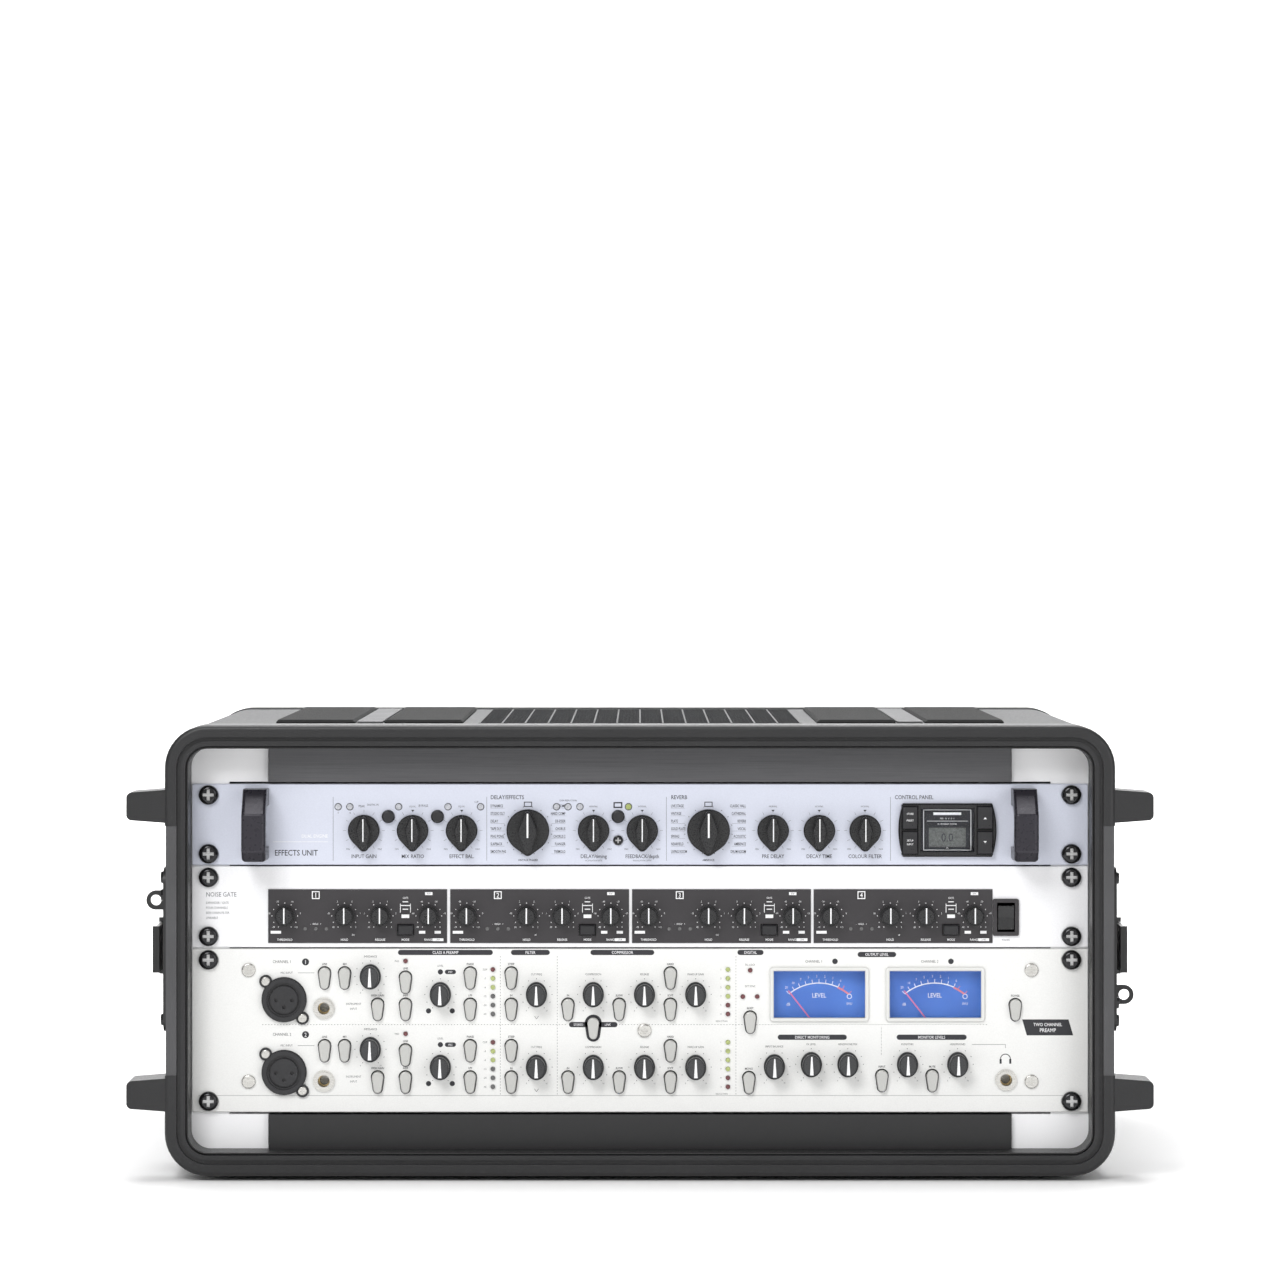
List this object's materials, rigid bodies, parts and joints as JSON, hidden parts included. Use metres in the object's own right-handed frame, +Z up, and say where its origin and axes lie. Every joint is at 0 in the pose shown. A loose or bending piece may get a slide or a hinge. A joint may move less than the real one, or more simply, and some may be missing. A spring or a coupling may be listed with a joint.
{
  "type": "rack effects unit",
  "caption": "Portable moulded rack case holding an effects processor, a noise gate and a preamplifier, with turning knobs, push buttons, meters and side latches.",
  "frame": {"origin": "on the resting surface under the centre of the whole object", "axes": "+X to the right seen from the front, +Y from the front mouth to the rear mouth, +Z up"},
  "size_m": [0.55, 0.408, 0.2453],
  "materials": {
    "shell": "pebbled moulding",
    "frame": "fine grained moulding",
    "strip": "satin extrusion",
    "pad": "matt",
    "rail_zinc": "light, satin",
    "rail_rear": "satin",
    "bar": "brushed dark anodised",
    "tray": "semi-gloss black",
    "latch_metal": "black powder coat",
    "latch_lever": "black powder coat",
    "screw": "black oxide",
    "fx_panel": "fine satin, cool silver",
    "gate_panel": "satin white",
    "pre_panel": "satin warm white",
    "box_metal": "black powder coat",
    "handle": "satin graphite",
    "bezel": "gloss black",
    "window": "clear",
    "button_black": "satin black",
    "gate_print": "satin black",
    "knob_black": "satin black",
    "rocker": "gloss black",
    "button_silver": "silver lacquer",
    "meter_frame": "silver lacquer",
    "needle": "pink",
    "socket": "satin black",
    "lamp": "tinted lenses",
    "board": "soldermask",
    "knob_grey": "satin dark grey"
  },
  "bodies": {
    "case": {"case_shell": "shell", "end_frames": "frame", "side_strips": "strip", "rubber_pads": "pad", "front_rails": "rail_zinc", "rear_rails": "rail_rear", "cross_bars": "bar", "floor_tray": "tray", "latch_plates": "latch_metal", "rack_screws": "screw", "fx_faceplate": "fx_panel", "fx_enclosure": "box_metal", "fx_rack_handles": "handle", "fx_display_bezel": "bezel", "display_windows": "window", "gate_faceplate": "gate_panel", "gate_enclosure": "box_metal", "gate_channel_panels": "gate_print", "gate_knobs": "knob_black", "preamp_faceplate": "pre_panel", "preamp_enclosure": "box_metal", "meter_cases": "meter_frame", "panel_sockets": "socket", "indicator_lamps": "lamp", "control_boards": "board"},
    "fx_gain_knob": {"fx_gain_knob": "knob_black"},
    "fx_mix_knob": {"fx_mix_knob": "knob_black"},
    "fx_balance_knob": {"fx_balance_knob": "knob_black"},
    "fx_delay_knob": {"fx_delay_knob": "knob_black"},
    "fx_feedback_knob": {"fx_feedback_knob": "knob_black"},
    "fx_predelay_knob": {"fx_predelay_knob": "knob_black"},
    "fx_decay_knob": {"fx_decay_knob": "knob_black"},
    "fx_colour_knob": {"fx_colour_knob": "knob_black"},
    "fx_effect_selector": {"fx_effect_selector": "knob_black"},
    "fx_reverb_selector": {"fx_reverb_selector": "knob_black"},
    "channel_1_impedance_knob": {"channel_1_impedance_knob": "knob_grey"},
    "channel_1_gain_knob": {"channel_1_gain_knob": "knob_grey"},
    "channel_1_cut_knob": {"channel_1_cut_knob": "knob_grey"},
    "channel_1_compression_knob": {"channel_1_compression_knob": "knob_grey"},
    "channel_1_release_knob": {"channel_1_release_knob": "knob_grey"},
    "channel_1_makeup_knob": {"channel_1_makeup_knob": "knob_grey"},
    "channel_2_impedance_knob": {"channel_2_impedance_knob": "knob_grey"},
    "channel_2_gain_knob": {"channel_2_gain_knob": "knob_grey"},
    "channel_2_cut_knob": {"channel_2_cut_knob": "knob_grey"},
    "channel_2_compression_knob": {"channel_2_compression_knob": "knob_grey"},
    "channel_2_release_knob": {"channel_2_release_knob": "knob_grey"},
    "channel_2_makeup_knob": {"channel_2_makeup_knob": "knob_grey"},
    "input_balance_knob": {"input_balance_knob": "knob_grey"},
    "return_level_knob": {"return_level_knob": "knob_grey"},
    "headphone_mix_knob": {"headphone_mix_knob": "knob_grey"},
    "monitor_level_knob": {"monitor_level_knob": "knob_grey"},
    "headphone_level_knob": {"headphone_level_knob": "knob_grey"},
    "fx_buttons": {"fx_buttons": "button_black"},
    "gate_mode_buttons": {"gate_mode_buttons": "button_black"},
    "preamp_buttons": {"preamp_buttons": "button_silver"},
    "gate_power_rocker": {"gate_power_rocker": "rocker"},
    "left_meter_needle": {"left_meter_needle": "needle"},
    "right_meter_needle": {"right_meter_needle": "needle"},
    "left_latch": {"left_latch": "latch_lever"},
    "right_latch": {"right_latch": "latch_lever"}
  },
  "joints": [
    {"name": "fx_gain_knob_turn", "type": "hinge", "parent": "case", "child": "fx_gain_knob", "pos_m": [-0.1488, -0.172, 0.1866], "axis": [0, 1, 0], "range_deg": [-150, 150]},
    {"name": "fx_mix_knob_turn", "type": "hinge", "parent": "case", "child": "fx_mix_knob", "pos_m": [-0.1225, -0.172, 0.1866], "axis": [0, 1, 0], "range_deg": [-150, 150]},
    {"name": "fx_balance_knob_turn", "type": "hinge", "parent": "case", "child": "fx_balance_knob", "pos_m": [-0.0961, -0.172, 0.1866], "axis": [0, 1, 0], "range_deg": [-150, 150]},
    {"name": "fx_delay_knob_turn", "type": "hinge", "parent": "case", "child": "fx_delay_knob", "pos_m": [-0.025, -0.172, 0.1866], "axis": [0, 1, 0], "range_deg": [-150, 150]},
    {"name": "fx_feedback_knob_turn", "type": "hinge", "parent": "case", "child": "fx_feedback_knob", "pos_m": [0.0012, -0.172, 0.1866], "axis": [0, 1, 0], "range_deg": [-150, 150]},
    {"name": "fx_predelay_knob_turn", "type": "hinge", "parent": "case", "child": "fx_predelay_knob", "pos_m": [0.0717, -0.172, 0.1866], "axis": [0, 1, 0], "range_deg": [-150, 150]},
    {"name": "fx_decay_knob_turn", "type": "hinge", "parent": "case", "child": "fx_decay_knob", "pos_m": [0.0966, -0.172, 0.1866], "axis": [0, 1, 0], "range_deg": [-150, 150]},
    {"name": "fx_colour_knob_turn", "type": "hinge", "parent": "case", "child": "fx_colour_knob", "pos_m": [0.1213, -0.172, 0.1866], "axis": [0, 1, 0], "range_deg": [-150, 150]},
    {"name": "fx_effect_selector_turn", "type": "hinge", "parent": "case", "child": "fx_effect_selector", "pos_m": [-0.0604, -0.172, 0.1866], "axis": [0, 1, 0], "continuous": true},
    {"name": "fx_reverb_selector_turn", "type": "hinge", "parent": "case", "child": "fx_reverb_selector", "pos_m": [0.0369, -0.172, 0.1866], "axis": [0, 1, 0], "continuous": true},
    {"name": "channel_1_impedance_knob_turn", "type": "hinge", "parent": "case", "child": "channel_1_impedance_knob", "pos_m": [-0.1453, -0.172, 0.10784], "axis": [0, 1, 0], "range_deg": [-90, 90]},
    {"name": "channel_1_gain_knob_turn", "type": "hinge", "parent": "case", "child": "channel_1_gain_knob", "pos_m": [-0.1076, -0.172, 0.09824], "axis": [0, 1, 0], "range_deg": [-150, 150]},
    {"name": "channel_1_cut_knob_turn", "type": "hinge", "parent": "case", "child": "channel_1_cut_knob", "pos_m": [-0.0558, -0.172, 0.09824], "axis": [0, 1, 0], "range_deg": [-150, 150]},
    {"name": "channel_1_compression_knob_turn", "type": "hinge", "parent": "case", "child": "channel_1_compression_knob", "pos_m": [-0.0252, -0.172, 0.09824], "axis": [0, 1, 0], "range_deg": [-150, 150]},
    {"name": "channel_1_release_knob_turn", "type": "hinge", "parent": "case", "child": "channel_1_release_knob", "pos_m": [0.0024, -0.172, 0.09824], "axis": [0, 1, 0], "range_deg": [-150, 150]},
    {"name": "channel_1_makeup_knob_turn", "type": "hinge", "parent": "case", "child": "channel_1_makeup_knob", "pos_m": [0.03, -0.172, 0.09824], "axis": [0, 1, 0], "range_deg": [-150, 150]},
    {"name": "channel_2_impedance_knob_turn", "type": "hinge", "parent": "case", "child": "channel_2_impedance_knob", "pos_m": [-0.1453, -0.172, 0.06864], "axis": [0, 1, 0], "range_deg": [-90, 90]},
    {"name": "channel_2_gain_knob_turn", "type": "hinge", "parent": "case", "child": "channel_2_gain_knob", "pos_m": [-0.1076, -0.172, 0.05905], "axis": [0, 1, 0], "range_deg": [-150, 150]},
    {"name": "channel_2_cut_knob_turn", "type": "hinge", "parent": "case", "child": "channel_2_cut_knob", "pos_m": [-0.0558, -0.172, 0.05905], "axis": [0, 1, 0], "range_deg": [-150, 150]},
    {"name": "channel_2_compression_knob_turn", "type": "hinge", "parent": "case", "child": "channel_2_compression_knob", "pos_m": [-0.0252, -0.172, 0.05905], "axis": [0, 1, 0], "range_deg": [-150, 150]},
    {"name": "channel_2_release_knob_turn", "type": "hinge", "parent": "case", "child": "channel_2_release_knob", "pos_m": [0.0024, -0.172, 0.05905], "axis": [0, 1, 0], "range_deg": [-150, 150]},
    {"name": "channel_2_makeup_knob_turn", "type": "hinge", "parent": "case", "child": "channel_2_makeup_knob", "pos_m": [0.03, -0.172, 0.05905], "axis": [0, 1, 0], "range_deg": [-150, 150]},
    {"name": "input_balance_knob_turn", "type": "hinge", "parent": "case", "child": "input_balance_knob", "pos_m": [0.0724, -0.172, 0.05935], "axis": [0, 1, 0], "range_deg": [-150, 150]},
    {"name": "return_level_knob_turn", "type": "hinge", "parent": "case", "child": "return_level_knob", "pos_m": [0.0923, -0.172, 0.06055], "axis": [0, 1, 0], "range_deg": [-150, 150]},
    {"name": "headphone_mix_knob_turn", "type": "hinge", "parent": "case", "child": "headphone_mix_knob", "pos_m": [0.112, -0.172, 0.06055], "axis": [0, 1, 0], "range_deg": [-150, 150]},
    {"name": "monitor_level_knob_turn", "type": "hinge", "parent": "case", "child": "monitor_level_knob", "pos_m": [0.1441, -0.172, 0.06055], "axis": [0, 1, 0], "range_deg": [-150, 150]},
    {"name": "headphone_level_knob_turn", "type": "hinge", "parent": "case", "child": "headphone_level_knob", "pos_m": [0.1712, -0.172, 0.06055], "axis": [0, 1, 0], "range_deg": [-150, 150]},
    {"name": "fx_buttons_press", "type": "slide", "parent": "case", "child": "fx_buttons", "axis": [0, 1, 0], "range_m": [0, 0.002], "stiffness_N_per_m": 400, "springref_m": -0.0005},
    {"name": "gate_mode_buttons_press", "type": "slide", "parent": "case", "child": "gate_mode_buttons", "axis": [0, 1, 0], "range_m": [0, 0.002], "stiffness_N_per_m": 400, "springref_m": -0.0005},
    {"name": "preamp_buttons_press", "type": "slide", "parent": "case", "child": "preamp_buttons", "axis": [0, 1, 0], "range_m": [0, 0.002], "stiffness_N_per_m": 800, "springref_m": -0.0005},
    {"name": "gate_power_rocker_tilt", "type": "hinge", "parent": "case", "child": "gate_power_rocker", "pos_m": [0.1972, -0.169, 0.13984], "axis": [1, 0, 0], "range_deg": [0, 14]},
    {"name": "left_meter_needle_swing", "type": "hinge", "parent": "case", "child": "left_meter_needle", "pos_m": [0.0967, -0.1674, 0.07865], "axis": [0, 1, 0], "range_deg": [0, 76], "stiffness_Nm_per_rad": 0.000002, "springref_deg": -11.46},
    {"name": "right_meter_needle_swing", "type": "hinge", "parent": "case", "child": "right_meter_needle", "pos_m": [0.1592, -0.1674, 0.07865], "axis": [0, 1, 0], "range_deg": [0, 76], "stiffness_Nm_per_rad": 0.000002, "springref_deg": -11.46},
    {"name": "left_latch_lift", "type": "hinge", "parent": "case", "child": "left_latch", "pos_m": [-0.2586, -0.15, 0.12325], "axis": [0, 0, 1], "range_deg": [-120, 0]},
    {"name": "right_latch_lift", "type": "hinge", "parent": "case", "child": "right_latch", "pos_m": [0.2586, -0.15, 0.12325], "axis": [0, 0, 1], "range_deg": [0, 120]}
  ]
}
